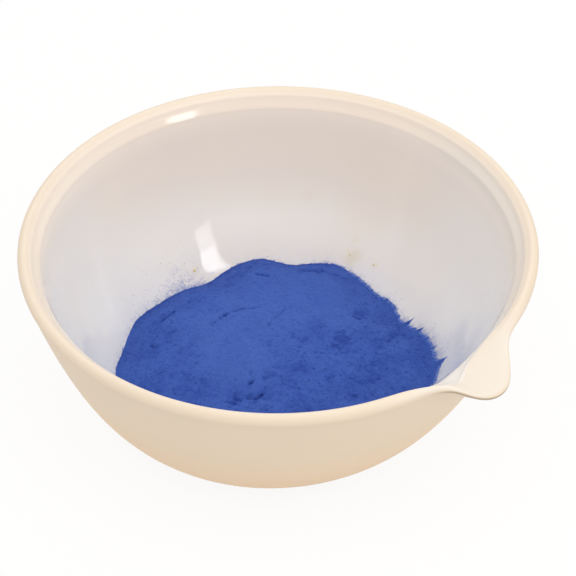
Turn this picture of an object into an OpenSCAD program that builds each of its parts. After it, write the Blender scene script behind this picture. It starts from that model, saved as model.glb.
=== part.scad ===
// Porcelain evaporating dish with a pouring spout, and the heap of powder that it holds.
// The origin is the centre of the foot's underside, +Z is up, and the spout points along +X.

/* [Bowl] */
// Diameter of the mouth as it is turned, over the rim, before the spout is drawn
mouth_d = 100; // [80:1:140]
// Height from the foot's underside to the top of the rim
height = 41; // [34:0.5:60]
// Diameter of the flat foot
foot_d = 45; // [34:1:60]
// Thickness of the wall under the rim
wall_t = 3.6; // [2.4:0.1:4.5]
// Thickness of the floor
floor_t = 3; // [2:0.1:4.5]
// Extra thickness where the wall turns into the floor
turn_t = 1; // [0:0.1:2]
// How full the wall is: a higher value is a straighter wall over a tighter turn
fullness = 3.4; // [2.6:0.1:4.5]

/* [Rim] */
// Thickness of the rounded rim
rim_t = 2.9; // [2.4:0.1:3.4]
// How far the rim stands proud of the wall outside
rim_proud = 0.3; // [0.1:0.05:0.8]
// Drop of the soft ledge inside, from the rim down to the wall
ledge_drop = 1.3; // [0.6:0.1:2.5]

/* [Spout] */
// How far the whole mouth is drawn out towards the spout
mouth_draw = 4.6; // [0:0.2:8]
// How far the lip reaches beyond the drawn rim
spout_reach = 7.2; // [4:0.2:11]
// Width of the spout, halfway along its reach
spout_w = 12; // [8:0.5:20]
// Drop of the trough below the rim
spout_dip = 2.3; // [1:0.1:4]
// Thickness of the lip
lip_t = 1.2; // [1:0.1:2.5]
// Height of the flare that runs from the lip down to the wall
flare_h = 6; // [4:0.5:10]

/* [Powder] */
// Depth of powder at the middle of the heap
powder_depth = 8.5; // [5:0.5:14]
// Height of the heap's edge above the floor, at the back of the dish
edge_low = 1.2; // [1:0.1:3]
// Height of the heap's edge above the floor, where it banks up the wall
edge_high = 5.5; // [1:0.1:8]
// Direction in which the heap banks up the wall, from the spout
bank_angle = -20; // [-180:5:180]
// Height of each hump on the heap
hump_h = 1.2; // [0:0.1:2.5]
// Gap between the heap and the bowl
powder_gap = 0.45; // [0.3:0.05:0.8]

/* [Hidden] */

mouth_r = mouth_d / 2;
foot_r = foot_d / 2;
rim_r = rim_t / 2;

// where the wall's outside leaves the rim, and where the rim's inner side meets the wall
rim_out_angle = -acos(1 - rim_proud / rim_r);
rim_in_angle = 205;
wall_top_r = mouth_r - rim_proud;
wall_top_z = height - rim_r + rim_r * sin(rim_out_angle);
wall_run = wall_top_r - foot_r;
inner_top_z = height - rim_r + rim_r * sin(rim_in_angle) - ledge_drop;

// the spout's half width as an angle, for its reach, its dip and its thin lip
spout_half = asin(spout_w / 2 / mouth_r) * 1.2;
dip_half = spout_half * 1.03;
thin_half = spout_half * 1.8;

// how sharply each of them ends at the sides, and how flat the trough's bottom is
reach_power = 2.2;
dip_power = 2;
thin_power = 4;
trough_flatness = 0.65;

// the two humps: their places on the heap and their radius
humps = [[-16, 15], [-4, 24]];
hump_r = 9;
edge_t = 0.4;

// points in a ring, crowded towards the spout, and rings in each stretch of the section
ring_n = 64;
crowding = 0.72;
flare_n = 3;
wall_n = 10;
rim_n = 5;
heap_n = 7;

function ring_angle(i, n) = 360 * i / n - crowding * 180 / PI * sin(360 * i / n);
function from_spout(a) = abs((a + 540) % 360 - 180);
function bell(x, power) = exp(-pow(x, power));
function between(a, b, share) = a + (b - a) * share;
function clamp01(x) = min(1, max(0, x));
function reversed(list) = [for (i = [len(list) - 1:-1:0]) list[i]];

// the wall's outside, from t = 0 under the rim to t = 1 at the foot
function wall_r(t) = foot_r + wall_run * pow(1 - t, 1 / fullness);
function wall_z(t) = wall_top_z * (1 - t);
function wall_slope(t) = wall_run / fullness * pow(max(1 - t, 0.00001), 1 / fullness - 1);
function thickness(t) = between(wall_t, floor_t, t) + turn_t * sin(180 * pow(t, 4));

// a point inside the wall, a depth away from its outside
function inside(t, depth) =
    let (run = wall_slope(t), len = sqrt(run * run + wall_top_z * wall_top_z))
    [wall_r(t) - depth * wall_top_z / len, wall_z(t) + depth * run / len];

// the whole mouth leans out towards the spout, most at the rim and nothing at the foot
function drawn(z, a) = mouth_draw * min(1, z / wall_top_z) * pow(cos(from_spout(a) / 2), 3);

// how far the rim is pulled out, lowered and thinned around the spout
function pull(a) = spout_reach * bell(from_spout(a) / spout_half, reach_power);
function flat(a) = bell(from_spout(a) / dip_half, dip_power);
function dip(a) = spout_dip * flat(a);
function thinned(a) = (rim_r - lip_t / 2) * bell(from_spout(a) / thin_half, thin_power);
function lowered(angle, a) = dip(a) - thinned(a) * (1 - sin(angle));

// the share of those that is left at a height below the top of a wall
function flare(top_z, z) = pow(1 - clamp01((top_z - z) / flare_h), 2);

// a point on the wall's outside, with the flare under the lip
function outer_point(t, a) =
    let (z = wall_z(t), share = flare(wall_top_z, z))
    [
        wall_r(t) + drawn(z, a) + (pull(a) + thinned(a) * (1 - cos(rim_out_angle))) * share,
        z - lowered(rim_out_angle, a) * share
    ];

// a point on the rounded rim, which flattens into the trough and thins into the lip
function rim_point(angle, a) =
    let (
        half_t = rim_r - thinned(a),
        low = mouth_r - rim_t + drawn(height, a),
        high = mouth_r + drawn(height, a) + pull(a),
        mid_z = height - dip(a) - half_t,
        rise = pow(abs(sin(angle)), 1 - trough_flatness * flat(a))
    )
    angle < 0 ? [high - half_t * (1 - cos(angle)), mid_z + half_t * sin(angle)] :
    angle > 180 ? [low + half_t * (1 + cos(angle)), mid_z + half_t * sin(angle)] :
    [between(low, high, (1 + cos(angle)) / 2), mid_z + half_t * rise];

// a point on the bowl's inside, which sinks a little under the trough
function inner_point(t, a) =
    let (p = inside(t, thickness(t)), share = flare(inner_top_z, p[1]))
    [
        p[0] + drawn(p[1], a) - thinned(a) * (1 + cos(rim_in_angle)) * share,
        p[1] - lowered(rim_in_angle, a) * share
    ];

// how far down the wall its slope from the level is a given angle
steepest = atan(fullness * wall_top_z / wall_run);
function share_at(slope) = 1 - pow(tan(slope) / tan(steepest), fullness / (fullness - 1));
function slope_at(t) = atan(tan(steepest) * pow(1 - t, 1 - 1 / fullness));

// shares of the way down the wall: even steps over the flare, then equal turns down to the foot
flare_share = flare_h / wall_top_z;
inner_first = (wall_top_z + wall_t * 0.2 - inner_top_z) / wall_top_z;
function wall_shares(first) = concat(
    [for (i = [0:flare_n - 1]) between(first, flare_share, i / flare_n)],
    [for (i = [0:wall_n - 1]) share_at(slope_at(flare_share) * (1 - i / (wall_n - 1)))]
);

function dish_section(a) = concat(
    [for (t = reversed(wall_shares(0))) outer_point(t, a)],
    [for (i = [1:rim_n]) rim_point(between(rim_out_angle, 90, i / rim_n), a)],
    [for (i = [1:rim_n]) rim_point(between(90, rim_in_angle, i / rim_n), a)],
    [for (t = wall_shares(inner_first)) inner_point(t, a)]
);

// the heap's underside follows the bowl, and its top is a low crown with two humps
function bank(a) = between(edge_low, edge_high, pow((1 + cos(a - bank_angle)) / 2, 2));
function bowl_share(z) = 1 - clamp01((z - floor_t) / (wall_top_z - floor_t));
function under_point(t, a) =
    let (p = inside(t, thickness(t) + powder_gap)) [p[0] + drawn(p[1], a), p[1]];
function hump(p, a, place) = bell(norm([p * cos(a), p * sin(a)] - place) / hump_r, 2);
function crown(s, p, a) =
    between(floor_t + powder_depth, floor_t + bank(a), pow(s, 3))
    + hump_h * (1 - pow(s, 6)) * (hump(p, a, humps[0]) + hump(p, a, humps[1]));

// rings of the heap: the underside outwards from the floor, then the top back to the middle
function heap_share(i, a) = share_at(slope_at(bowl_share(floor_t + bank(a))) * i / heap_n);
function heap_section(a) =
    let (edge = under_point(heap_share(heap_n, a), a))
    concat(
        [for (i = [0:heap_n]) under_point(heap_share(i, a), a)],
        [for (i = [0:heap_n]) let (s = 1 - i / (heap_n + 1), p = edge[0] * s - powder_gap)
            [p, max(crown(s, p, a), edge[1] + edge_t)]]
    );

// a closed solid from one section for each point of the ring
module revolve_sections(sections) {
    n = len(sections);
    m = len(sections[0]);
    points = [for (i = [0:n - 1]) for (p = sections[i])
        [p[0] * cos(ring_angle(i, n)), p[0] * sin(ring_angle(i, n)), p[1]]];
    sides = [for (i = [0:n - 1]) for (j = [0:m - 2])
        let (a = i * m + j, b = (i + 1) % n * m + j)
        each [[a, b + 1, b], [a, a + 1, b + 1]]];
    first = [for (i = [0:n - 1]) i * m];
    last = [for (i = [n - 1:-1:0]) i * m + m - 1];
    polyhedron(points, concat(sides, [first, last]), convexity = 6);
}

module dish() {
    color("cornsilk")
        revolve_sections([for (i = [0:ring_n - 1]) dish_section(ring_angle(i, ring_n))]);
}

module powder_heap() {
    color("royalblue")
        revolve_sections([for (i = [0:ring_n - 1]) heap_section(ring_angle(i, ring_n))]);
}

dish();
powder_heap();
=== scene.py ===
import bpy
import math
import numpy as np
from mathutils import Matrix, Vector, noise


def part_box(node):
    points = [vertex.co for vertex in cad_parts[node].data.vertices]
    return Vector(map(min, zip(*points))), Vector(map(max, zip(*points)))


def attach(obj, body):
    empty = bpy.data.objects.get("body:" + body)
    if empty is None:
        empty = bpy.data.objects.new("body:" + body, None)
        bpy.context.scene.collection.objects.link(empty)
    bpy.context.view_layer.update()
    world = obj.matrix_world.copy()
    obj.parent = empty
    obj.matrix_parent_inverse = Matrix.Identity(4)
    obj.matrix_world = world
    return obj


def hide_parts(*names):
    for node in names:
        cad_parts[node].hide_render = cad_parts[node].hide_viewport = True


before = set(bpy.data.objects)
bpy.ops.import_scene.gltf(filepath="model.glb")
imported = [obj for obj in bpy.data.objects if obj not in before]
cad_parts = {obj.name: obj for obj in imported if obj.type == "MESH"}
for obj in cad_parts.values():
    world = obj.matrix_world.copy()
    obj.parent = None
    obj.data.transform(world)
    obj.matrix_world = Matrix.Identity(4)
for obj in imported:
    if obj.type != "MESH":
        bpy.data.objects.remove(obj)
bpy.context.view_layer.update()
dishLow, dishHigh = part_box("dish")
print("frame loaded")

mm = 0.001
tau = 2 * math.pi

# ---------- small helpers for node trees ----------


def paint(red, green, blue):
    # a screen colour, 0 to 255, as the linear colour that nodes take
    def linear(level):
        level /= 255
        return level / 12.92 if level <= 0.04045 else ((level + 0.055) / 1.055) ** 2.4
    return (linear(red), linear(green), linear(blue), 1)


def plug(tree, value, socket):
    # a socket is linked, and a plain value is typed in
    if isinstance(value, bpy.types.NodeSocket):
        tree.links.new(value, socket)
    elif value is not None:
        socket.default_value = value


def addNode(tree, kind, inputs=None, **settings):
    node = tree.nodes.new(kind)
    for name, value in settings.items():
        setattr(node, name, value)
    for name, value in (inputs or {}).items():
        plug(tree, value, node.inputs[name])
    return node


def calc(tree, operation, *values, clamp=False):
    node = addNode(tree, "ShaderNodeMath", operation=operation, use_clamp=clamp)
    for socket, value in zip(node.inputs, values):
        plug(tree, value, socket)
    return node.outputs[0]


def times(tree, first, *others):
    for value in others:
        first = calc(tree, "MULTIPLY", first, value)
    return first


def bell(tree, distance, width, power):
    # 1 in the middle, falling to 0 past the width
    share = calc(tree, "POWER", calc(tree, "DIVIDE", distance, width), power)
    return calc(tree, "EXPONENT", times(tree, share, -1))


def newObject(name, data):
    piece = bpy.data.objects.new(name, data)
    bpy.context.scene.collection.objects.link(piece)
    return piece


def keepValues(mesh, name, values):
    # one number for each vertex, which trees and materials read by its name
    kept = mesh.attributes.new(name, "FLOAT", "POINT")
    kept.data.foreach_set("value", np.asarray(values, np.float32))


def newTree(name, settings):
    # a geometry node tree with one named input for each setting
    tree = bpy.data.node_groups.new(name, "GeometryNodeTree")
    tree.is_modifier = True
    tree.interface.new_socket("Geometry", in_out="INPUT", socket_type="NodeSocketGeometry")
    kinds = {int: "NodeSocketInt", float: "NodeSocketFloat", bpy.types.Material: "NodeSocketMaterial"}
    for label, value in settings.items():
        tree.interface.new_socket(label, in_out="INPUT", socket_type=kinds[type(value)])
    tree.interface.new_socket("Geometry", in_out="OUTPUT", socket_type="NodeSocketGeometry")
    return tree, tree.nodes.new("NodeGroupInput"), tree.nodes.new("NodeGroupOutput")


def finish(tree, geometry, material, result):
    # how every tree ends
    smooth = addNode(tree, "GeometryNodeSetShadeSmooth", {"Geometry": geometry})
    solid = addNode(tree, "GeometryNodeRealizeInstances", {"Geometry": smooth.outputs[0]})
    dressed = addNode(tree, "GeometryNodeSetMaterial", {"Geometry": solid.outputs[0], "Material": material})
    plug(tree, dressed.outputs[0], result.inputs[0])


def runTree(name, mesh, tree, settings):
    # the tree's result on a mesh, as a plain object with no modifier
    source = newObject(name + "Source", mesh)
    modifier = source.modifiers.new(tree.name, "NODES")
    modifier.node_group = tree
    for item in tree.interface.items_tree:
        if item.item_type == "SOCKET" and item.in_out == "INPUT" and item.name in settings:
            modifier[item.identifier] = settings[item.name]
    depsgraph = bpy.context.evaluated_depsgraph_get()
    result = bpy.data.meshes.new_from_object(source.evaluated_get(depsgraph))
    source.modifiers.remove(modifier)
    bpy.data.objects.remove(source)
    result.name = name
    return newObject(name, result)


def newMaterial(name):
    material = bpy.data.materials.new(name)
    material.use_nodes = True
    tree = material.node_tree
    return material, tree, tree.nodes["Principled BSDF"]


def valueOf(tree, name):
    # a number kept on the mesh, read by a material
    return addNode(tree, "ShaderNodeAttribute", attribute_name=name).outputs["Fac"]


def ramp(tree, factor, stops):
    # stops: place on the ramp and colour
    node = addNode(tree, "ShaderNodeValToRGB", {"Fac": factor})
    points = node.color_ramp.elements
    while len(points) < len(stops):
        points.new(0.5)
    for point, (place, colour) in zip(points, stops):
        point.position = place
        point.color = colour
    return node.outputs["Color"]


def mixColour(tree, factor, first, second):
    node = addNode(tree, "ShaderNodeMix", data_type="RGBA")
    plug(tree, factor, node.inputs["Factor"])
    plug(tree, first, node.inputs[6])
    plug(tree, second, node.inputs[7])
    return node.outputs[2]


def noiseAt(tree, place, scale, detail=2.0, rough=0.5):
    inputs = {"Vector": place, "Scale": scale, "Detail": detail, "Roughness": rough}
    return addNode(tree, "ShaderNodeTexNoise", inputs).outputs[0]


def raised(tree, height, strength, distance, normal=None):
    inputs = {"Height": height, "Strength": strength, "Distance": distance}
    node = addNode(tree, "ShaderNodeBump", inputs)
    plug(tree, normal, node.inputs["Normal"])
    return node.outputs[0]


def between(tree, value, low, high):
    # 0 at low, 1 at high, and smooth between them
    node = addNode(tree, "ShaderNodeMapRange", {"Value": value, "From Min": low, "From Max": high},
                   interpolation_type="SMOOTHSTEP")
    return node.outputs["Result"]


# ---------- camera ----------

cameraView = {
    "azimuth": 48.0,        # degrees round from the spout's right side
    "elevation": 39.387,
    "roll": 1.390,
    "distance": 320.98,     # mm, from the middle of the mouth
    "lens": 100.0,
    "sensor": 36.0,
    "aim": (-0.011774, 0.038768),   # where the mouth's middle lies in the view, as slopes right and up
}


def placeCamera(spec):
    turn = math.radians(spec["azimuth"])
    rise = math.radians(spec["elevation"])
    side = Vector((math.cos(turn), math.sin(turn), 0))
    away = Vector((-math.sin(turn), math.cos(turn), 0))
    upward = Vector((0, 0, 1))
    forward = away * math.cos(rise) - upward * math.sin(rise)
    top = away * math.sin(rise) + upward * math.cos(rise)
    roll = Matrix.Rotation(math.radians(spec["roll"]), 3, forward)
    basis = Matrix((roll @ side, roll @ top, forward)).transposed()
    aim = Vector((spec["aim"][0], spec["aim"][1], 1)).normalized()
    swing = Vector((0, 0, 1)).rotation_difference(aim).to_matrix()
    axes = basis @ swing.transposed()
    data = bpy.data.cameras.new("studioCamera")
    data.lens = spec["lens"]
    data.sensor_width = spec["sensor"]
    data.clip_start = 0.01
    camera = newObject("studioCamera", data)
    mouth = Vector((0, 0, dishHigh.z))
    turned = Matrix((axes.col[0], axes.col[1], -axes.col[2])).transposed().to_4x4()
    camera.matrix_world = Matrix.Translation(mouth - forward * spec["distance"] * mm) @ turned
    bpy.context.scene.camera = camera


placeCamera(cameraView)
print("camera placed")

# ---------- floor, world and lamps ----------

studio = {
    "floorRadius": 4.0,
    "floorSides": 64,
    "floorDrop": 0.05 * mm,     # a hair under the foot
    "floorColour": (0.75, 0.75, 0.75, 1),
    "floorGlow": 0.85,          # how much of the floor's look is plain white, over the shadow
    "white": 1.04,
    "ambient": 0.91,            # the room's own light
    "ambientColour": (1.0, 0.99, 0.97, 1),
    # name: azimuth, elevation, distance, width, height, lean, power, what it shows in
    "lamps": {
        "windowLamp": (94.6, 37, 0.55, 0.10, 0.54, -14, 0.40, "both"),
        "windowPane": (95.5, 42, 0.545, 0.10, 0.42, -14, 0.16, "gloss"),
        "upperPane": (98.5, 53, 0.540, 0.11, 0.46, -14, 0.60, "gloss"),
        "overheadLamp": (48, 74, 0.90, 0.80, 0.80, 0, 1.1, "matt"),
    },
}


def seenDirectly(tree):
    # 1 for what the camera sees straight, in gloss or through glass
    path = addNode(tree, "ShaderNodeLightPath")
    some = calc(tree, "MAXIMUM", path.outputs["Is Camera Ray"], path.outputs["Is Glossy Ray"])
    return calc(tree, "MAXIMUM", some, path.outputs["Is Transmission Ray"])


def makeStudio(spec):
    world = bpy.data.worlds.new("paleRoom")
    bpy.context.scene.world = world
    world.use_nodes = True
    tree = world.node_tree
    tree.nodes.clear()
    room, white = [addNode(tree, "ShaderNodeBackground", {"Color": colour, "Strength": strength}).outputs[0]
                   for colour, strength in ((spec["ambientColour"], spec["ambient"]), ((1, 1, 1, 1), 1.0))]
    mix = addNode(tree, "ShaderNodeMixShader", {0: seenDirectly(tree), 1: room, 2: white})
    addNode(tree, "ShaderNodeOutputWorld", {"Surface": mix.outputs[0]})

    mesh = bpy.data.meshes.new("paleFloor")
    radius, sides, low = spec["floorRadius"], spec["floorSides"], dishLow.z - spec["floorDrop"]
    turns = [tau * i / sides for i in range(sides)]
    ring = [(math.cos(a) * radius, math.sin(a) * radius, low) for a in turns]
    mesh.from_pydata(ring, [], [list(range(sides))])
    floor = newObject("paleFloor", mesh)
    material, tree, shader = newMaterial("paleFloor")
    tree.nodes.remove(shader)
    matt = addNode(tree, "ShaderNodeBsdfDiffuse", {"Color": spec["floorColour"]})
    glow = addNode(tree, "ShaderNodeEmission", {"Color": (1, 1, 1, 1), "Strength": spec["white"]})
    share = times(tree, seenDirectly(tree), spec["floorGlow"])
    mix = addNode(tree, "ShaderNodeMixShader", {0: share, 1: matt.outputs[0], 2: glow.outputs[0]})
    tree.links.new(mix.outputs[0], tree.nodes["Material Output"].inputs["Surface"])
    mesh.materials.append(material)

    target = Vector((0, 0, dishHigh.z / 2))
    for name, (azimuth, elevation, distance, width, height, lean, power, shows) in spec["lamps"].items():
        turn, rise = math.radians(azimuth), math.radians(elevation)
        back = Vector((math.sin(turn) * math.cos(rise), -math.cos(turn) * math.cos(rise), math.sin(rise)))
        light = bpy.data.lights.new(name, "AREA")
        light.shape = "RECTANGLE"
        light.size, light.size_y = width, height
        light.energy = power
        lamp = newObject(name, light)
        lamp.location = target + back * distance
        lamp.rotation_euler = (Matrix.Rotation(math.radians(lean), 3, back)
                               @ back.to_track_quat("Z", "Y").to_matrix()).to_euler()
        lamp.visible_glossy = shows != "matt"
        lamp.visible_diffuse = shows != "gloss"


makeStudio(studio)
bpy.context.scene.view_settings.view_transform = "Standard"
print("studio lit")

# ---------- the porcelain bowl ----------

bowl = {
    "footRadius": 22.5,     # mm, as are all the lengths here
    "wall": 3.6,
    "floor": 3.0,
    "turn": 1.0,            # extra thickness where the wall turns into the floor
    "fullness": 3.4,        # a straighter wall over a tighter turn
    "rim": 2.9,
    "proud": 0.3,           # how far the rim stands out from the wall
    "bead": 2.7,            # thickness of the rim at the foot of its inner side
    "shoulder": 0.9,        # how deep the rim's inner side is, for its radius
    "lean": 0.575,          # slope of the rim's inner side at its foot, in for down
    "ledge": 2.5,           # height of the soft ledge between the rim's inner side and the wall
    "ledgeCurve": (0.70, -0.96, 3.82, -2.56),   # how it runs in as it goes down: shares of t, t2, t3 and t4
    "ledgeRows": 14,
    "innerRimAngle": 180,   # degrees round the rim, where its inner side meets the ledge
    "draw": 4.6,            # how far the whole mouth leans towards the spout
    "reach": 7.2,           # how far the lip runs beyond that
    "spoutHalf": 7.7,       # degrees
    "reachPower": 2.2,      # how sharply each of these ends at the sides
    "dip": 2.3,
    "dipHalf": 7.2,
    "dipPower": 2,
    "nearDipHalf": 6.0,     # on the side away from the heap's tongue, where the rim stays high for longer
    "nearDipPower": 4,
    "nearNarrower": 0.10,   # and the lip falls back sooner
    "lip": 1.2,
    "thinHalf": 14.9,
    "thinPower": 4,
    "nearThicker": 0.5,     # the rim stays thick for longer on that side too
    "troughFlatness": 0.65,
    "flare": 6.0,
    "creasePush": 3.3,      # the inner edge of the rim is dragged out on one side of the spout
    "creaseAngle": -6.5,
    "creaseHalf": 5.6,
    "creasePower": 2,
    "unevenness": 0.12,
    "weld": 0.002,          # points nearer than this become one
    "rings": 560,
    "wallSteps": 44,
    "crowding": 2.6,        # of those steps towards the foot, where the wall turns fastest
    "rimSteps": 30,
}
height = dishHigh.z / mm
mouthRadius = -dishLow.x / mm
rimRadius = bowl["rim"] / 2
rimOutAngle = -math.degrees(math.acos(1 - bowl["proud"] / rimRadius))
wallTopZ = height - rimRadius + rimRadius * math.sin(math.radians(rimOutAngle))
innerTopZ = height - rimRadius * bowl["shoulder"]
wallRun = mouthRadius - bowl["proud"] - bowl["footRadius"]


def wallPoint(share, depth):
    # share 0 under the rim, 1 at the foot; depth in from the outside
    left = max(1 - share, 1e-6)
    radius = bowl["footRadius"] + wallRun * left ** (1 / bowl["fullness"])
    run = wallRun / bowl["fullness"] * left ** (1 / bowl["fullness"] - 1)
    length = math.hypot(run, wallTopZ)
    return radius - depth * wallTopZ / length, wallTopZ * (1 - share) + depth * run / length


def wallThickness(share):
    plain = bowl["wall"] + (bowl["floor"] - bowl["wall"]) * share
    return plain + bowl["turn"] * math.sin(math.pi * share ** 4)


def wallShares(first, steps):
    return [first + (1 - first) * (1 - (1 - i / steps) ** bowl["crowding"]) for i in range(steps + 1)]


def flareShare(topZ, z):
    return (1 - min(1, max(0, (topZ - z) / bowl["flare"]))) ** 2


def bowlSection():
    # rows from the foot's middle up the outside, over the rim and down to the floor's middle:
    # (radius, height, outward, inward, lowered, rim cosine, rim sine, on top, place)
    outSine = math.sin(math.radians(rimOutAngle))
    outCosine = 1 - math.cos(math.radians(rimOutAngle))
    inSine = 1 - bowl["shoulder"]
    innerHalf = bowl["bead"] - rimRadius * (1 + bowl["lean"] * bowl["shoulder"])
    rows = []
    for i in range(4):
        rows.append((bowl["footRadius"] * i / 4, 0, 0, 0, 0, 0, 0, 0, 0))
    for share in reversed(wallShares(0, bowl["wallSteps"])):
        radius, z = wallPoint(share, 0)
        flare = flareShare(wallTopZ, z)
        rows.append((radius, z, flare, 0, flare, outCosine, outSine, 0, 0.1 + 0.9 * z / wallTopZ))
    for i in range(1, bowl["rimSteps"] + 1):
        angle = rimOutAngle + (bowl["innerRimAngle"] - rimOutAngle) * i / bowl["rimSteps"]
        cosine, sine = math.cos(math.radians(angle)), math.sin(math.radians(angle))
        if angle > 90:
            sine = 1 - bowl["shoulder"] * (1 - sine)
        z = height - rimRadius * (1 - sine)
        radius = mouthRadius - rimRadius + rimRadius * cosine
        if angle > 90:
            radius = mouthRadius - rimRadius + innerHalf * cosine - bowl["lean"] * (height - z)
        onTop = 0 <= angle <= 180
        outward = (1 + cosine) / 2 if onTop else float(angle < 0)
        bead = 0 if onTop else (1 - cosine if angle < 0 else -1 - cosine)
        rows.append((radius, z, outward, 1 - outward, 1, bead, sine, float(onTop), 1 + i / bowl["rimSteps"]))
    first = 1 - innerTopZ / wallTopZ + bowl["wall"] * wallRun / bowl["fullness"] / wallTopZ ** 2
    start = wallPoint(first, wallThickness(first))
    step = mouthRadius - bowl["bead"] - start[0]
    count = bowl["ledgeRows"]
    ledgeShares = [first + i / count * bowl["ledge"] / wallTopZ for i in range(1, count)]
    for share in ledgeShares + wallShares(first + bowl["ledge"] / wallTopZ, bowl["wallSteps"]):
        radius, z = wallPoint(share, wallThickness(share))
        down = min(1, (start[1] - z) / bowl["ledge"])
        down = sum(share * down ** (k + 1) for k, share in enumerate(bowl["ledgeCurve"]))
        flare = flareShare(start[1], z)
        place = 2 + (start[1] - z) / (start[1] - bowl["floor"])
        # the ledge fades out behind the spout, where the rim is thin
        spread = down * step / (rimRadius - bowl["lip"] / 2)
        rows.append((radius + step * (1 - down), z, 0, flare, flare, spread, inSine, 0, place))
    edge = rows[-1][0]
    for i in range(1, 5):
        rows.append((edge * (1 - i / 4), bowl["floor"], 0, 0, 0, 0, 0, 0, 3))
    return rows


def sectionMesh(rows):
    mesh = bpy.data.meshes.new("bowlSection")
    points = [(row[0] * mm, 0, row[1] * mm) for row in rows]
    mesh.from_pydata(points, [(i, i + 1) for i in range(len(rows) - 1)], [])
    for name, kind, start in (("lipShares", "FLOAT_VECTOR", 2), ("rimTurn", "FLOAT_VECTOR", 5)):
        values = mesh.attributes.new(name, kind, "POINT")
        values.data.foreach_set("vector", [value for row in rows for value in row[start:start + 3]])
    keepValues(mesh, "place", [row[8] for row in rows])
    return mesh


bowlInputs = {
    "Rings": bowl["rings"],
    "Rim radius": rimRadius * mm,
    "Wall top": wallTopZ * mm,
    "Mouth draw": bowl["draw"] * mm,
    "Spout reach": bowl["reach"] * mm,
    "Spout half angle": math.radians(bowl["spoutHalf"]),
    "Dip": bowl["dip"] * mm,
    "Dip half angle": math.radians(bowl["dipHalf"]),
    "Near dip half angle": math.radians(bowl["nearDipHalf"]),
    "Lip thickness": bowl["lip"] * mm,
    "Thin half angle": math.radians(bowl["thinHalf"]),
    "Near side narrower": bowl["nearNarrower"],
    "Near side thicker": bowl["nearThicker"],
    "Trough flatness": bowl["troughFlatness"],
    "Crease push": bowl["creasePush"] * mm,
    "Crease angle": math.radians(bowl["creaseAngle"]),
    "Crease half angle": math.radians(bowl["creaseHalf"]),
    "Unevenness": bowl["unevenness"] * mm,
}


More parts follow.
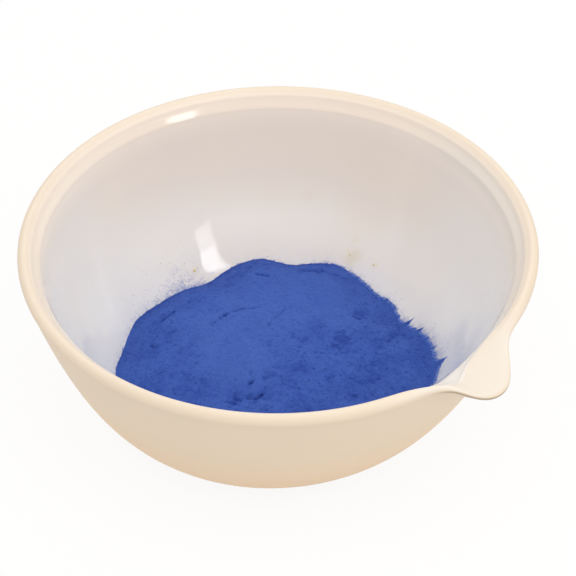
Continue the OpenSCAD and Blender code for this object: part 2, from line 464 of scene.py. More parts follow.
def bowlTree(settings):
    # turns the section round the axis, leans the mouth and pulls the lip
    tree, given, result = newTree("turnedBowl", settings)
    value = given.outputs
    section = value["Geometry"]
    size = addNode(tree, "GeometryNodeAttributeDomainSize", {"Geometry": section}, component="MESH")
    rows = size.outputs["Point Count"]
    columns = calc(tree, "ADD", value["Rings"], 1)
    grid = addNode(tree, "GeometryNodeMeshGrid", {"Vertices X": columns, "Vertices Y": rows})
    index = addNode(tree, "GeometryNodeInputIndex").outputs[0]
    column = calc(tree, "FLOOR", calc(tree, "DIVIDE", calc(tree, "ADD", index, 0.5), rows))
    row = calc(tree, "ROUND", calc(tree, "SUBTRACT", index, times(tree, column, rows)))

    def sampled(name, kind):
        if name == "position":
            field = addNode(tree, "GeometryNodeInputPosition").outputs[0]
        else:
            named = addNode(tree, "GeometryNodeInputNamedAttribute", {"Name": name}, data_type=kind)
            field = named.outputs["Attribute"]
        node = addNode(tree, "GeometryNodeSampleIndex", {"Geometry": section, "Index": row}, data_type=kind)
        plug(tree, field, node.inputs["Value"])
        return node.outputs["Value"]

    point = addNode(tree, "ShaderNodeSeparateXYZ", {0: sampled("position", "FLOAT_VECTOR")})
    shares = addNode(tree, "ShaderNodeSeparateXYZ", {0: sampled("lipShares", "FLOAT_VECTOR")})
    rimTurn = addNode(tree, "ShaderNodeSeparateXYZ", {0: sampled("rimTurn", "FLOAT_VECTOR")})
    radius, z = point.outputs["X"], point.outputs["Z"]
    outward, inward, lowered = shares.outputs
    cosine, sine, onTop = rimTurn.outputs

    turn = times(tree, calc(tree, "DIVIDE", column, value["Rings"]), tau)
    pastHalf = calc(tree, "GREATER_THAN", turn, math.pi)
    signed = calc(tree, "SUBTRACT", turn, times(tree, pastHalf, tau))
    away = calc(tree, "ABSOLUTE", signed)

    lean = calc(tree, "POWER", calc(tree, "COSINE", calc(tree, "DIVIDE", away, 2)), 3)
    drawShare = calc(tree, "MINIMUM", calc(tree, "DIVIDE", z, value["Wall top"]), 1)
    drawn = times(tree, lean, drawShare, value["Mouth draw"])
    near = calc(tree, "LESS_THAN", signed, 0)
    fromSpout = times(tree, away, calc(tree, "MULTIPLY_ADD", near, value["Near side narrower"], 1))
    pull = bell(tree, fromSpout, value["Spout half angle"], bowl["reachPower"])
    pull = times(tree, pull, value["Spout reach"])
    flat = bell(tree, away, value["Dip half angle"], bowl["dipPower"])
    nearFlat = bell(tree, away, value["Near dip half angle"], bowl["nearDipPower"])
    flat = calc(tree, "MULTIPLY_ADD", near, calc(tree, "SUBTRACT", nearFlat, flat), flat)
    dip = times(tree, flat, value["Dip"])
    fromCrease = calc(tree, "ABSOLUTE", calc(tree, "SUBTRACT", signed, value["Crease angle"]))
    dragged = bell(tree, fromCrease, value["Crease half angle"], bowl["creasePower"])
    push = times(tree, dragged, value["Crease push"])
    lipHalf = calc(tree, "DIVIDE", value["Lip thickness"], 2)
    full = calc(tree, "SUBTRACT", value["Rim radius"], lipHalf)
    fromThin = times(tree, away, calc(tree, "MULTIPLY_ADD", near, value["Near side thicker"], 1))
    thinner = times(tree, bell(tree, fromThin, value["Thin half angle"], bowl["thinPower"]), full)

    # sideways: the lean, the lip's reach, the dragged inner edge and the thinner rim
    radius = calc(tree, "ADD", radius, drawn)
    radius = calc(tree, "ADD", radius, times(tree, pull, outward))
    radius = calc(tree, "ADD", radius, times(tree, push, inward))
    radius = calc(tree, "ADD", radius, times(tree, thinner, cosine, lowered))

    # downwards: the dip, the thinner rim and the flattened bottom of the trough
    drop = calc(tree, "SUBTRACT", dip, times(tree, thinner, calc(tree, "SUBTRACT", 1, sine)))
    z = calc(tree, "SUBTRACT", z, times(tree, drop, lowered))
    power = calc(tree, "SUBTRACT", 1, times(tree, flat, value["Trough flatness"]))
    topSine = calc(tree, "MAXIMUM", sine, 0.0001)
    fuller = calc(tree, "SUBTRACT", calc(tree, "POWER", topSine, power), topSine)
    half = calc(tree, "SUBTRACT", value["Rim radius"], thinner)
    z = calc(tree, "ADD", z, times(tree, fuller, half, onTop))

    # a hand-finished wall is never quite round
    around = addNode(tree, "ShaderNodeCombineXYZ")
    plug(tree, calc(tree, "COSINE", turn), around.inputs[0])
    plug(tree, calc(tree, "SINE", turn), around.inputs[1])
    plug(tree, times(tree, z, 25), around.inputs[2])
    wander = addNode(tree, "ShaderNodeTexNoise", {"Vector": around.outputs[0], "Scale": 2.4, "Detail": 2.0})
    offAxis = calc(tree, "GREATER_THAN", radius, mm)
    radius = calc(tree, "SUBTRACT", radius, times(tree, value["Unevenness"], offAxis, wander.outputs[0]))

    place = addNode(tree, "ShaderNodeCombineXYZ")
    plug(tree, times(tree, radius, calc(tree, "COSINE", turn)), place.inputs[0])
    plug(tree, times(tree, radius, calc(tree, "SINE", turn)), place.inputs[1])
    plug(tree, z, place.inputs[2])
    keep = addNode(tree, "GeometryNodeStoreNamedAttribute",
                   {"Geometry": grid.outputs["Mesh"], "Name": "place", "Value": sampled("place", "FLOAT")},
                   data_type="FLOAT", domain="POINT")
    shaped = addNode(tree, "GeometryNodeSetPosition",
                     {"Geometry": keep.outputs[0], "Position": place.outputs[0]})
    closed = addNode(tree, "GeometryNodeMergeByDistance",
                     {"Geometry": shaped.outputs[0], "Distance": bowl["weld"] * mm})
    finish(tree, closed.outputs[0], value["Glaze"], result)
    return tree


# ---------- where the powder lies ----------

heap = {
    # angle from the spout in degrees and radius of the heap's edge in mm
    "edge": [(-165, 31.1), (-154, 32.0), (-134, 32.4), (-122, 33.7), (-90, 35.0), (-45, 36.4), (0, 36.8),
             (30, 36.1), (45, 34.6), (55, 33.4), (64, 31.6), (69, 30.8), (77, 31.4), (90, 31.1), (101, 32.0),
             (111, 32.4), (117, 31.9), (129, 30.9), (142, 31.9), (152, 31.4), (168, 29.3), (178, 30.1)],
    # where the powder runs further up the glaze: angle, how far, half width in degrees
    "tongues": [(36.4, 1.75, 1.5), (34.0, 0.5, 2.0), (46.0, 0.9, 0.5), (48.8, 0.35, 0.5), (52.6, 0.4, 0.7),
                (58.7, 1.1, 0.6), (61.0, 0.3, 0.5), (65.8, 1.7, 0.6), (71.5, 0.35, 0.8), (82.0, 0.3, 0.9)],
    "ragged": 0.22,         # mm
    "depth": 8.4,           # mm, at the middle
    "floorGap": 0.06,
    "film": 0.10,           # the thin edge of the powder on the glaze
    "grid": 290,
    "seed": 3.7,
}


def smoothLoop(points, angles):
    # a smooth closed curve through the points, read at any angles
    places = np.array([p[0] for p in points], float)
    values = np.array([p[1] for p in points], float)
    places = np.concatenate([places[-3:] - 360, places, places[:3] + 360])
    values = np.concatenate([values[-3:], values, values[:3]])
    slopes = np.gradient(values, places)
    angles = (np.asarray(angles) - places[3]) % 360 + places[3]
    k = np.clip(np.searchsorted(places, angles) - 1, 0, len(places) - 2)
    width = places[k + 1] - places[k]
    t = (angles - places[k]) / width
    return (values[k] * (2 * t ** 3 - 3 * t ** 2 + 1) + slopes[k] * width * (t ** 3 - 2 * t ** 2 + t)
            + values[k + 1] * (3 * t ** 2 - 2 * t ** 3) + slopes[k + 1] * width * (t ** 3 - t ** 2))


innerWall = np.array([wallPoint(s, wallThickness(s)) for s in wallShares(0, 200)])


def wallHeight(radius, angle):
    # height of the glaze inside the bowl, in mm
    lean = bowl["draw"] * np.cos(np.radians((np.asarray(angle) + 180) % 360 - 180) / 2) ** 3
    z = np.full(np.shape(radius), bowl["floor"], float)
    for _ in range(6):
        turned = radius - lean * np.minimum(z / wallTopZ, 1)
        z = np.interp(turned, innerWall[::-1, 0], innerWall[::-1, 1], left=bowl["floor"])
    return z


def fractal(x, y, scale, octaves, seed):
    # -1 to 1, the same each run
    places = [Vector((a / scale, b / scale, seed)) for a, b in zip(x, y)]
    return np.array([noise.fractal(spot, 1.0, 2.0, octaves) for spot in places])


def softStep(value, low, high):
    t = np.clip((value - low) / (high - low), 0, 1)
    return t * t * (3 - 2 * t)


def tornShare(angle):
    # torn towards the right of the spout, smooth elsewhere
    angle = (np.asarray(angle, float) + 180) % 360 - 180
    return softStep(angle, 5, 24) * (1 - softStep(angle, 92, 124))


def heapEdge(angle):
    angle = (np.asarray(angle, float) + 180) % 360 - 180
    torn = tornShare(angle)
    ragged = np.array([noise.fractal(Vector((a * 0.9, heap["seed"], 0)), 0.7, 2.1, 4) for a in angle])
    gentle = np.array([noise.fractal(Vector((a * 0.09, heap["seed"] + 5, 0)), 1.0, 2.0, 3) for a in angle])
    edge = smoothLoop(heap["edge"], angle) + heap["ragged"] * (0.25 + torn) * ragged + 0.14 * gentle
    for at, rise, half in heap["tongues"]:
        edge += rise * np.exp(-np.abs((angle - at) / half) ** 1.4)
    return edge


# ---------- glaze ----------

sideways = (0.669, 0.743)       # x and y of the line along which tones change from side to side

glazeColours = {
    # place along the section: 0 foot, 0.33 under the rim, 0.67 inside the rim, 1 floor
    "stops": [
        (0.00, (244, 215, 181)),
        (0.10, (244, 215, 181)),
        (0.24, (236, 217, 193)),
        (0.45, (232, 214, 192)),
        (0.485, (236, 219, 196)),
        (0.515, (240, 224, 205)),
        (0.60, (242, 226, 206)),
        # the paler stops at 0.655, on the rim's inner side, and at 0.697, at the top of the inner wall, are
        # painted light that lifts the shade under the rim
        (0.655, (250, 235, 218)),
        (0.685, (242, 229, 215)),
        (0.697, (247, 236, 224)),
        (0.735, (240, 230, 221)),
        (0.80, (243, 236, 229)),
        (0.90, (246, 242, 238)),
        (1.00, (246, 243, 242)),
    ],
    "warm": (250, 236, 218),
    # patches of another tone: colour, strength, and where they show, as a measure, 0 at and 1 at;
    # "right" runs sideways and "across" at right angles to it, in metres
    "patches": [
        ((244, 246, 246), 0.70, (("across", 0.035, -0.02), ("place", 2.05, 2.35))),
        ((226, 207, 191), 0.32, (("across", 0.015, 0.042), ("place", 1.96, 2.03), ("place", 2.75, 2.35))),
        ((214, 210, 204), 0.40, (("right", 0.028, 0.045), ("place", 1.98, 2.03), ("place", 2.14, 2.08))),
        ((239, 228, 214), 1.00, (("x", 0.049, 0.055), ("place", 1.22, 1.34), ("beside",))),
        # a thin dark brown line at the lip's edge: partly the thinner glaze there, partly painted shade under
        # the lip
        ((150, 132, 108), 0.75, (("x", 0.053, 0.057), ("place", 1.24, 1.14), ("place", 1.00, 1.05))),
    ],
    "speck": (150, 105, 70),
    "roughness": 0.07,
    "outsideRoughness": 0.60,
    "dust": (84, 110, 190),
    "stain": (216, 190, 96),
}


def readPlace(tree):
    # the place in the object, its x and y, and how far across it is
    position = addNode(tree, "ShaderNodeTexCoord").outputs["Object"]
    x, y = addNode(tree, "ShaderNodeSeparateXYZ", {0: position}).outputs[:2]
    across = calc(tree, "MULTIPLY_ADD", x, -sideways[1], times(tree, y, sideways[0]))
    return position, x, y, across


def makeGlaze(spec):
    material, tree, shader = newMaterial("porcelainGlaze")
    position, x, y, across = readPlace(tree)
    place, dust, dustHazeAndReflection, stain = [valueOf(tree, name) for name in ("place", "dust", "dustHazeAndReflection", "stain")]
    # the rim's inner edge lies further out on one side of the spout
    dragged = calc(tree, "MULTIPLY_ADD", between(tree, y, 0.004, -0.003), 0.14, place)
    dragged = between(tree, dragged, 1.97, 2.02)
    behindSpout = times(tree, between(tree, x, 0.046, 0.050), dragged)
    along = calc(tree, "MULTIPLY_ADD", behindSpout, 0.45, place)
    tone = ramp(tree, calc(tree, "DIVIDE", along, 3), [(at, paint(*colour)) for at, colour in spec["stops"]])
    # slow changes of tone in the glaze, warmer over half of the inside and cooler over the other
    inside = between(tree, place, 2.05, 2.35)
    drift = between(tree, noiseAt(tree, position, 34.0, 2.0), 0.40, 0.72)
    warm = times(tree, between(tree, across, 0.005, 0.045), 0.50)
    warm = times(tree, calc(tree, "ADD", warm, times(tree, drift, 0.45)), inside)
    tone = mixColour(tree, times(tree, warm, 0.7), tone, paint(*spec["warm"]))
    right = calc(tree, "MULTIPLY_ADD", x, sideways[0], times(tree, y, sideways[1]))
    measures = {"x": x, "across": across, "right": right, "place": place,
                "beside": calc(tree, "SUBTRACT", 1, dragged)}
    for colour, strength, masks in spec["patches"]:
        shares = [between(tree, measures[name], *ends) if ends else measures[name] for name, *ends in masks]
        tone = mixColour(tree, times(tree, *shares, strength), tone, paint(*colour))
    # iron specks, most of them along the rim's outer edge
    cells = addNode(tree, "ShaderNodeTexVoronoi", {"Vector": position, "Scale": 190.0})
    dot = between(tree, cells.outputs["Distance"], 0.10, 0.03)
    chance = addNode(tree, "ShaderNodeSeparateColor", {0: cells.outputs["Color"]}).outputs[0]
    rare = between(tree, chance, 0.90, 0.93)
    edge = between(tree, calc(tree, "ABSOLUTE", calc(tree, "SUBTRACT", place, 1.16)), 0.30, 0.05)
    specks = times(tree, dot, rare, calc(tree, "MULTIPLY_ADD", edge, 0.8, 0.10))
    tone = mixColour(tree, specks, tone, paint(*spec["speck"]))
    # blue dust that clings to the glaze: a haze, which also holds a painted blue reflection of the heap, and
    # specks that crowd together near the heap
    cloudy = calc(tree, "MULTIPLY_ADD", noiseAt(tree, position, 800.0, 3.0, 0.7), 1.6, 0.2)
    tone = mixColour(tree, times(tree, dustHazeAndReflection, cloudy), tone, paint(*spec["dust"]))
    tone = mixColour(tree, stain, tone, paint(*spec["stain"]))
    fine = noiseAt(tree, position, 3000.0, 3.0, 0.7)
    coarse = noiseAt(tree, position, 700.0, 2.0)
    level = calc(tree, "ADD", times(tree, fine, 0.7), times(tree, coarse, 0.3))
    dustLevel = calc(tree, "SUBTRACT", 0.68, times(tree, dust, 0.43))
    cling = between(tree, calc(tree, "SUBTRACT", level, dustLevel), -0.02, 0.14)
    cling = times(tree, cling, between(tree, dust, 0.02, 0.30))
    clinging = times(tree, cling, calc(tree, "MULTIPLY_ADD", dust, 0.6, 0.25))
    tone = mixColour(tree, clinging, tone, paint(*spec["dust"]))
    plug(tree, tone, shader.inputs["Base Color"])
    rough = calc(tree, "ADD", spec["roughness"], times(tree, cling, 0.6))
    # glossy from the middle of the ledge inwards
    satin = times(tree, between(tree, place, 2.035, 2.02), spec["outsideRoughness"] - spec["roughness"])
    plug(tree, calc(tree, "ADD", rough, satin), shader.inputs["Roughness"])
    ripple = raised(tree, noiseAt(tree, position, 160.0, 2.0), 0.06, 1.0 * mm)
    plug(tree, raised(tree, cling, 0.5, 0.12 * mm, ripple), shader.inputs["Normal"])
    return material


dusting = {
    # angle from the spout, how far the dust reaches up the glaze in mm, and how thick it lies
    "fringe": [(-170, 7.0, 0.50), (-150, 5.0, 0.42), (-134, 3.5, 0.40), (-120, 3.0, 0.40), (-90, 2.0, 0.30),
               (-45, 1.5, 0.30), (0, 2.0, 0.30), (25, 3.0, 0.50), (36, 4.0, 0.70), (48, 4.0, 0.75),
               (60, 3.0, 0.70), (75, 2.6, 0.60), (90, 2.2, 0.60), (105, 1.6, 0.60), (118, 2.5, 0.55),
               (130, 1.2, 0.30), (142, 1.5, 0.35), (150, 1.6, 0.35),
               (158, 1.5, 0.22), (164, 2.5, 0.30), (169, 6.5, 0.58), (177, 8.5, 0.66)],
    "film": 0.85,           # what stays on the glaze under the heap
    # smears where the powder was brushed along the glaze, and one painted reflection of the heap: x, y, z,
    # radius in mm and strength
    "smears": [(36.6, 21.7, 16.6, 6.0, 0.11), (39.5, 15.0, 16.0, 6.0, 0.14), (33.5, 20.8, 11.4, 5.0, 0.04),
               (28.4, 25.0, 10.9, 5.0, 0.10), (39.5, 20.9, 21.3, 6.0, 0.08), (18.0, 30.0, 7.0, 5.0, 0.05),
               # the wide faint smear at (-19, -40, 26) is the painted reflection of the blue heap in the
               # glaze
               (-19.0, -40.0, 26.0, 12.0, 0.05), (-30.0, -14.0, 10.0, 8.0, 0.05),
               (-31.0, 8.0, 7.0, 7.0, 0.05)],
    # yellow-brown stains round the crumbs
    "stains": [(-9.4, 33.4, 6.4, 1.5, 0.34), (-8.2, 34.6, 7.6, 1.3, 0.28), (-3.1, 35.1, 7.0, 0.9, 0.25),
               (-32.8, 6.1, 5.0, 0.9, 0.25), (-10.6, 36.3, 10.0, 1.2, 0.20), (-23.4, 33.9, 17.0, 1.6, 0.10)],
}


def smearShare(x, y, z, spots):
    return sum(strength * np.exp(-((x - a) ** 2 + (y - b) ** 2 + (z - c) ** 2) / radius ** 2)
               for a, b, c, radius, strength in spots)


def strewDust(mesh):
    # how much dust, haze with its painted reflection of the heap, and stain each point of the glaze carries
    points = np.zeros(len(mesh.vertices) * 3)
    mesh.vertices.foreach_get("co", points)
    x, y, z = points.reshape(-1, 3).T / mm
    place = np.zeros(len(x))
    mesh.attributes["place"].data.foreach_get("value", place)
    radius, angle = np.hypot(x, y), np.degrees(np.arctan2(y, x))
    edge = smoothLoop(heap["edge"], angle)
    beyond = np.hypot(radius - edge, z - wallHeight(edge, angle)) * np.sign(radius - edge)
    reach = smoothLoop([(spot[0], spot[1]) for spot in dusting["fringe"]], angle)
    thick = smoothLoop([(spot[0], spot[2]) for spot in dusting["fringe"]], angle)
    inside = place > 2 - 0.14 * (x > 44) * softStep(-y, -4, 3)
    thinning = thick * np.exp(-np.maximum(beyond, 0) / reach * 1.3)
    dust = inside * np.where(beyond < 0, dusting["film"], thinning)
    dustHazeAndReflection = inside * smearShare(x, y, z, dusting["smears"]) + inside * 0.10 * np.exp(-np.abs(beyond) / 3)
    dustHazeAndReflection += inside * (beyond < 0) * 0.5
    stain = inside * smearShare(x, y, z, dusting["stains"])
    loose = dust ** 2 * (beyond > 0.1)
    for name, values in (("dust", dust), ("dustHazeAndReflection", dustHazeAndReflection), ("stain", stain), ("loose", loose)):
        keepValues(mesh, name, values)


glaze = makeGlaze(glazeColours)
bowlInputs["Glaze"] = glaze
dish = runTree("porcelainDish", sectionMesh(bowlSection()), bowlTree(bowlInputs), bowlInputs)
strewDust(dish.data)
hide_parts("dish")
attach(dish, "dish_body")
print("dish turned:", len(dish.data.polygons), "faces")

# ---------- the powder ----------

heapShape = {
    # places are x, y in mm from the middle of the bowl, +x towards the spout
    "humps": [(-16, 14, 9, 0.9), (-7, 24, 8, 0.9), (6, -4, 16, 0.5), (24, 8, 8, -0.7), (-22, -8, 8, 0.4),
              (12, -18, 8, -0.5), (-6, -20, 9, 0.3)],      # and radius, height
    "pits": [(6.9, 19.7, 1.5, 0.55), (9.6, 21.4, 0.9, 0.4), (10.9, 10.3, 1.6, 0.4), (13.0, 11.8, 1.0, 0.35),
             (16.3, 14.7, 1.3, 0.45), (21.4, 10.7, 1.1, 0.4), (22.1, 4.3, 1.7, 0.35), (24.1, 8.2, 1.1, 0.4),
             (24.6, 0.1, 0.9, 0.45), (3.0, -3.0, 2.4, 0.2)],
    "lumps": [(8.3, -16.8, 1.3, 0.3), (9.7, -14.1, 1.5, 0.4), (13.8, -15.6, 0.9, 0.5),
              (-16.0, -18.2, 1.1, 0.3), (2.6, 19.0, 1.2, 0.25), (18.0, 8.0, 1.6, 0.25)],
    # grooves and ridges: ends, half width, height (a groove's is negative)
    "strokes": [((-17.4, 11.6), (-14.8, 12.6), 0.50, -0.45), ((-2.2, 1.0), (-3.7, 7.4), 0.35, -0.34),
                ((-21.5, -13.3), (-21.4, -9.3), 0.38, -0.75), ((-22.8, -12.0), (-22.6, -9.7), 0.32, -0.50),
                ((-17.8, -17.9), (-17.1, -19.1), 0.36, -0.55), ((-17.1, -19.1), (-15.9, -19.5), 0.40, -0.60),
                ((-15.9, -19.5), (-14.8, -18.0), 0.34, -0.40), ((-16.6, -14.4), (-16.4, -13.8), 0.45, -0.40),
                ((8.3, -18.2), (9.6, -17.7), 0.36, -0.60), ((8.0, -19.7), (9.5, -19.0), 0.35, -0.35),
                ((10.1, -16.1), (11.3, -15.2), 0.40, -0.60), ((11.3, -15.2), (11.5, -13.5), 0.40, -0.60),
                ((11.5, -13.5), (10.8, -12.4), 0.35, -0.40), ((5.4, -11.1), (7.4, -12.5), 0.35, -0.35),
                ((7.4, -12.5), (7.7, -13.7), 0.40, -0.50), ((-10.9, -7.4), (-11.3, -3.4), 0.45, -0.40),
                ((-11.3, -3.4), (-10.2, 0.4), 0.40, -0.35), ((-10.2, 0.4), (-7.8, 3.2), 0.30, -0.22),
                ((-9.8, -6.6), (-10.1, -2.4), 0.8, 0.34), ((15.8, 17.0), (13.8, 22.0), 0.7, 0.35),
                ((13.8, 22.0), (9.8, 26.6), 0.7, 0.35), ((17.4, 17.6), (15.4, 23.0), 0.6, -0.35),
                ((-12.6, 21.6), (-5.6, 27.2), 1.1, -0.5),
                ((20.0, 6.0), (17.4, 10.4), 0.35, -0.25)],
    # smooth pressed places: x, y, radius
    "pressed": [(-8, -6, 11), (-9, 8, 10), (0, 17, 9), (2, -11, 8)],
    # crust: height and size in mm, octaves and seed; crumbs: height and size in mm, and seed
    "crust": [(0.26, 3.2, 3, 4.4), (0.16, 1.1, 3, 6.2)],
    "crumbs": [(0.42, 1.7, 1.3), (0.22, 0.9, 5.1)],
}


def bump(x, y, place, radius):
    return np.exp(-((x - place[0]) ** 2 + (y - place[1]) ** 2) / radius ** 2)


def stroke(x, y, start, end, half):
    # 1 along a short line, fading sideways and at its ends
    dx, dy = end[0] - start[0], end[1] - start[1]
    along = np.clip(((x - start[0]) * dx + (y - start[1]) * dy) / (dx * dx + dy * dy), 0, 1)
    away = np.hypot(x - start[0] - along * dx, y - start[1] - along * dy)
    return np.exp(-(away / half) ** 2)


def pressedShare(x, y):
    share = sum(bump(x, y, spot, spot[2]) for spot in heapShape["pressed"])
    return np.clip(share + 0.35 * fractal(x, y, 6.0, 3, 2.1), 0, 1)


def clumps(x, y, size, seed):
    # round crumbs, each of its own height
    heights = []
    for a, b in zip(x, y):
        distances, centres = noise.voronoi(Vector((a / size, b / size, seed)))
        own = noise.cell(centres[0] * 7.3)
        heights.append(max(0.0, 0.55 - distances[0]) * own)
    return np.array(heights)


def heapTop(x, y, angle, smoothEdge):
    # the heap's upper surface in mm, and how pressed it is
    radius = np.hypot(x, y)
    body = np.minimum(radius / (smoothEdge - 0.5), 1)
    edgeZ = wallHeight(smoothEdge, angle)
    power = 3.0 + 0.9 * np.cos(np.radians(angle + 150))
    centreZ = bowl["floor"] + heap["depth"]
    z = edgeZ + (centreZ - edgeZ) * (1 - body ** power)
    inside = 1 - body ** 5
    for spot in heapShape["humps"]:
        z += bump(x, y, spot, spot[2]) * spot[3] * inside
    pressed = pressedShare(x, y)
    rough = 1 - 0.7 * pressed
    z += inside * 0.55 * fractal(x, y, 12.0, 2, 8.0)
    # what follows is fine relief, kept apart because its hollows get painted shade and its crests painted
    # light
    relief = np.zeros_like(z)
    for tall, size, octaves, seed in heapShape["crust"]:
        relief += tall * rough * fractal(x, y, size, octaves, seed)
    for tall, size, seed in heapShape["crumbs"]:
        relief += tall * rough * clumps(x, y, size, seed)
    # pits, lumps and strokes crumble along their edges
    crumbled = 1 + 0.9 * fractal(x, y, 0.9, 2, 9.6)
    marks = np.zeros_like(z)
    for spot in heapShape["pits"]:
        marks -= bump(x, y, spot, spot[2]) * spot[3]
    for spot in heapShape["lumps"]:
        marks += bump(x, y, spot, spot[2]) * spot[3]
    for start, end, half, rise in heapShape["strokes"]:
        marks += stroke(x, y, start, end, half) * rise
    marks *= crumbled * (1 - body ** 9)
    relief *= 1 - body ** 9
    return z + relief + marks, pressed, relief + 0.45 * marks


def heapMesh():
    n = heap["grid"]
    line = np.linspace(-1, 1, n + 1)
    u, v = [a.ravel() for a in np.meshgrid(line, line, indexing="ij")]
    # a square grid pressed into a disc
    wide = np.abs(u) >= np.abs(v)
    reach = np.where(wide, u, v)
    safe = np.where(reach == 0, 1, reach)
    turn = np.where(wide, math.pi / 4 * v / safe, math.pi / 2 - math.pi / 4 * u / safe)
    angle = np.degrees(turn) + np.where(reach < 0, 180, 0)
    share = np.abs(reach)
    smoothEdge = smoothLoop(heap["edge"], angle)
    edge = heapEdge(angle)
    radius = share * edge
    x, y = radius * np.cos(np.radians(angle)), radius * np.sin(np.radians(angle))
    z, pressed, relief = heapTop(x, y, angle, smoothEdge)
    z = np.maximum(z, wallHeight(radius, angle) + heap["film"])
    top = np.column_stack([x, y, z])

    def corner(i, j):
        return i * (n + 1) + j
    faces = [(corner(i, j), corner(i + 1, j), corner(i + 1, j + 1), corner(i, j + 1))
             for i in range(n) for j in range(n)]
    rim = ([corner(i, 0) for i in range(n)] + [corner(n, j) for j in range(n)]
           + [corner(i, n) for i in range(n, 0, -1)] + [corner(0, j) for j in range(n, 0, -1)])
    # the underside lies on the glaze, in a few rings
    vertices = [top]
    last, count = rim, len(top)
    for ring in (1.0, 0.93, 0.82, 0.66, 0.40):
        under = edge[rim] * ring
        low = wallHeight(under, angle[rim]) + heap["floorGap"]
        turned = np.radians(angle[rim])
        vertices.append(np.column_stack([under * np.cos(turned), under * np.sin(turned), low]))
        fresh = list(range(count, count + len(rim)))
        count += len(rim)
        for k in range(len(rim)):
            m = (k + 1) % len(rim)
            faces.append((last[k], fresh[k], fresh[m], last[m]))
        last = fresh
    vertices.append(np.array([[0, 0, bowl["floor"] + heap["floorGap"]]]))
    faces += [(last[k], count, last[(k + 1) % len(last)]) for k in range(len(last))]
    mesh = bpy.data.meshes.new("powderHeap")
    mesh.from_pydata((np.vstack(vertices) * mm).tolist(), [], faces)
    below = np.zeros(count + 1 - len(top))
    loose = (1 - pressed) * (share < 0.97)
    film = softStep(share, 0.958, 1.0) * tornShare(angle)
    for name, values in (("pressed", pressed), ("relief", relief), ("loose", loose), ("film", film)):
        keepValues(mesh, name, np.concatenate([values, below]))
    mesh.shade_smooth()
    return mesh


powderColours = {
    "middle": (69, 102, 187),
    "dark": (50, 78, 167),
    # the pale tone, also used as painted light on the fine relief's crests
    "light": (81, 113, 194),
    # the painted shade in the fine relief's hollows
    "paintedHollowShade": (46, 73, 160),
    "film": (124, 150, 216),
    "Roughness": 0.95,
    "Diffuse Roughness": 0.6,
    "Specular IOR Level": 0.15,
}


def makePowder(spec):
    material, tree, shader = newMaterial("bluePowder")
    position, _, _, across = readPlace(tree)
    pressed, relief, film = [valueOf(tree, name) for name in ("pressed", "relief", "film")]
    patches = between(tree, noiseAt(tree, position, 150.0, 3.0, 0.6), 0.38, 0.66)
    tone = mixColour(tree, times(tree, patches, 0.45), paint(*spec["middle"]), paint(*spec["dark"]))
    tone = mixColour(tree, times(tree, pressed, 0.55), tone, paint(*spec["light"]))
    # the far half turns away from the light a little
    far = times(tree, between(tree, across, 0.002, 0.018), 0.18)
    tone = mixColour(tree, far, tone, paint(*spec["dark"]))
    # painted light on the crests of the fine relief and painted shade in its hollows
    paintedCrestLight = times(tree, between(tree, relief, 0.05, 0.35), 0.35)
    tone = mixColour(tree, paintedCrestLight, tone, paint(*spec["light"]))
    paintedHollowShade = times(tree, between(tree, relief, 0.0, -0.30), 0.75)
    tone = mixColour(tree, paintedHollowShade, tone, paint(*spec["paintedHollowShade"]))
    # dark grains of two sizes, fewer where the powder is pressed
    fine = between(tree, noiseAt(tree, position, 2400.0, 2.0, 0.6), 0.50, 0.66)
    middling = between(tree, noiseAt(tree, position, 1100.0, 2.0, 0.6), 0.52, 0.70)
    grains = calc(tree, "ADD", times(tree, fine, 0.55), times(tree, middling, 0.40))
    grains = calc(tree, "MULTIPLY", grains, calc(tree, "MULTIPLY_ADD", pressed, -0.35, 1.0), clamp=True)
    tone = mixColour(tree, grains, tone, paint(*spec["dark"]))
    # the torn edge thins out over the white glaze
    torn = calc(tree, "SUBTRACT", noiseAt(tree, position, 2200.0, 3.0, 0.7), 0.5)
    worn = calc(tree, "MULTIPLY_ADD", torn, 2.4, film)
    tone = mixColour(tree, between(tree, worn, 0.45, 1.25), tone, paint(*spec["film"]))
    plug(tree, tone, shader.inputs["Base Color"])
    for name in ("Roughness", "Diffuse Roughness", "Specular IOR Level"):
        shader.inputs[name].default_value = spec[name]
    small = raised(tree, noiseAt(tree, position, 900.0, 4.0, 0.65), 0.8, 0.5 * mm)
    smaller = raised(tree, noiseAt(tree, position, 3200.0, 2.0), 0.7, 0.2 * mm, small)
    plug(tree, smaller, shader.inputs["Normal"])
    return material


powder = newObject("powderHeap", heapMesh())
powderBlue = makePowder(powderColours)
powder.data.materials.append(powderBlue)
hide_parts("powder_heap")
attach(powder, "powder_body")
print("powder heaped:", len(powder.data.polygons), "faces")


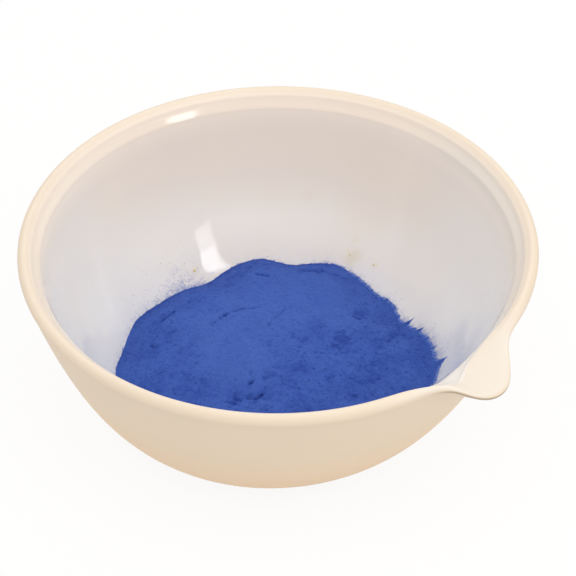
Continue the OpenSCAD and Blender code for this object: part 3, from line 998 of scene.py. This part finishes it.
def grainTree(settings):
    # little lumps strewn over a surface, more of them where its "loose" share is higher
    tree, given, result = newTree("strewnGrains", settings)
    value = given.outputs
    share = addNode(tree, "GeometryNodeInputNamedAttribute", {"Name": "loose"}, data_type="FLOAT")
    density = times(tree, share.outputs["Attribute"], value["Density"])
    points = addNode(tree, "GeometryNodeDistributePointsOnFaces",
                     {"Mesh": value["Geometry"], "Density": density, "Seed": value["Seed"]})
    lump = addNode(tree, "GeometryNodeMeshIcoSphere", {"Radius": 1.0, "Subdivisions": 1})

    def randomFrom(low, high, shift):
        node = addNode(tree, "FunctionNodeRandomValue", data_type="FLOAT")
        node.inputs[2].default_value, node.inputs[3].default_value = low, high
        plug(tree, calc(tree, "ADD", value["Seed"], shift), node.inputs["Seed"])
        return node.outputs[1]

    spread = calc(tree, "SUBTRACT", value["Largest"], value["Smallest"])
    size = times(tree, calc(tree, "POWER", randomFrom(0.0, 1.0, 1), 3), spread)
    size = calc(tree, "ADD", size, value["Smallest"])
    scale = addNode(tree, "ShaderNodeCombineXYZ")
    for axis, (low, high) in enumerate(((0.8, 1.3), (0.7, 1.0), (0.5, 0.8))):
        plug(tree, times(tree, size, randomFrom(low, high, 2 + axis)), scale.inputs[axis])
    strewn = addNode(tree, "GeometryNodeInstanceOnPoints",
                     {"Points": points.outputs["Points"], "Instance": lump.outputs["Mesh"],
                      "Rotation": points.outputs["Rotation"], "Scale": scale.outputs[0]})
    finish(tree, strewn.outputs[0], value["Finish"], result)
    return tree


clingingDust = {
    "Density": 9.0e6,       # grains for each square metre, where "loose" is 1
    "Smallest": 0.025 * mm,
    "Largest": 0.10 * mm,
    "Seed": 11,
    "Finish": powderBlue,
}
looseClumps = {"Density": 0.9e6, "Smallest": 0.10 * mm, "Largest": 0.42 * mm, "Seed": 5, "Finish": powderBlue}
strewing = grainTree(clingingDust)
for name, ground, body, settings in (("dustOnGlaze", dish, "dish_body", clingingDust),
                                     ("clumpsOnHeap", powder, "powder_body", looseClumps)):
    grains = runTree(name, ground.data, strewing, settings)
    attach(grains, body)
    print(name + ":", len(grains.data.polygons), "faces")

# ---------- crumbs of another colour, stuck to the glaze ----------

crumbs = {
    # angle from the spout, distance from the middle in mm, size in mm
    "places": [(170.0, 32.6, 0.30), (168.6, 32.9, 0.16), (106.2, 34.6, 0.26), (104.6, 35.2, 0.17),
               (107.6, 35.1, 0.20), (106.0, 36.6, 0.15), (95.6, 34.7, 0.26), (94.2, 35.0, 0.13),
               (122.5, 41.0, 0.12)],
    "colour": (240, 224, 156),
    "seed": 2.9,
}


def makeCrumbs(spec):
    vertices, faces = [], []
    ring = [(0, 0, 1)]
    ring += [(math.cos(tau * k / 6), math.sin(tau * k / 6), 0.55) for k in range(6)]
    ring += [(math.cos(tau * (k + 0.5) / 6), math.sin(tau * (k + 0.5) / 6), -0.25) for k in range(6)]
    ring += [(0, 0, -0.7)]
    cap = [(0, k + 1, (k + 1) % 6 + 1) for k in range(6)]
    belt = [(k + 1, k + 7, (k + 1) % 6 + 1) for k in range(6)]
    belt += [((k + 1) % 6 + 1, k + 7, (k + 1) % 6 + 7) for k in range(6)]
    base = [(13, (k + 1) % 6 + 7, k + 7) for k in range(6)]
    for angle, away, size in spec["places"]:
        turn = math.radians(angle)
        low = float(wallHeight(np.array([away]), np.array([angle]))[0]) + 0.3 * size
        start = len(vertices)
        for x, y, z in ring:
            uneven = 1 + 0.5 * noise.noise(Vector((x * 1.7 + angle, y * 1.7, z + spec["seed"])))
            wide = size * uneven
            vertices.append(((away * math.cos(turn) + x * wide) * mm,
                             (away * math.sin(turn) + y * wide) * mm, (low + z * wide) * mm))
        faces += [tuple(start + i for i in face) for face in cap + belt + base]
    mesh = bpy.data.meshes.new("paleCrumbs")
    mesh.from_pydata(vertices, [], faces)
    mesh.shade_smooth()
    material, _, shader = newMaterial("strawCrumb")
    shader.inputs["Base Color"].default_value = paint(*spec["colour"])
    shader.inputs["Roughness"].default_value = 0.8
    mesh.materials.append(material)
    return newObject("paleCrumbs", mesh)


paleCrumbs = makeCrumbs(crumbs)
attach(paleCrumbs, "dish_body")
print("crumbs:", len(paleCrumbs.data.polygons), "faces")
